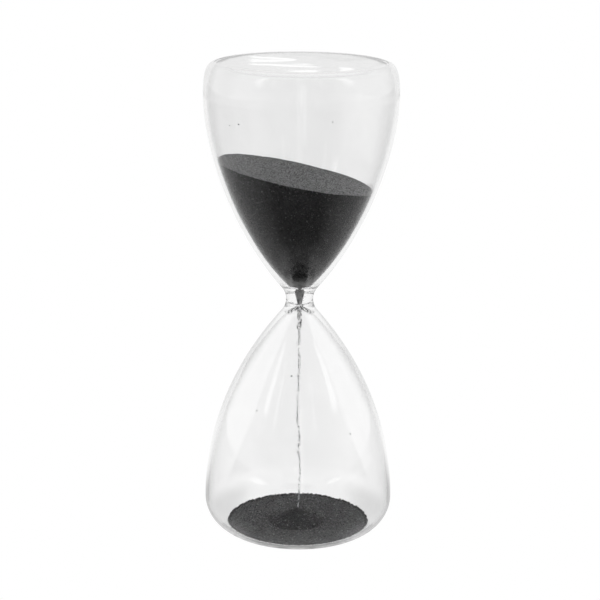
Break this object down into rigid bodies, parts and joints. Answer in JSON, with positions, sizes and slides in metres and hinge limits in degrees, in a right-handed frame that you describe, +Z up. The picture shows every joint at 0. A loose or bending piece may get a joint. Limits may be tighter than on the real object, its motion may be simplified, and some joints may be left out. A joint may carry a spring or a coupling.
{
  "type": "hourglass",
  "caption": "Free-standing blown-glass hourglass: rounded bulbs fused at a narrow neck, dark sand sealed inside and running down onto a small mound.",
  "frame": {"origin": "centre of the foot, on the plane it rests on", "axes": "+Z up along the hourglass's axis; the front faces -Y, and the upper sand slopes down towards +X"},
  "size_m": [0.064, 0.064, 0.16],
  "materials": {
    "glass": "clear, fire-polished",
    "sand": "matte, fine grained"
  },
  "bodies": {
    "root": {"upper_bulb": "glass", "lower_bulb": "glass", "neck_weld": "glass", "filling_plug": "glass", "upper_sand": "sand", "falling_sand": "sand", "sand_bed": "sand", "sand_mound": "sand"}
  },
  "joints": []
}
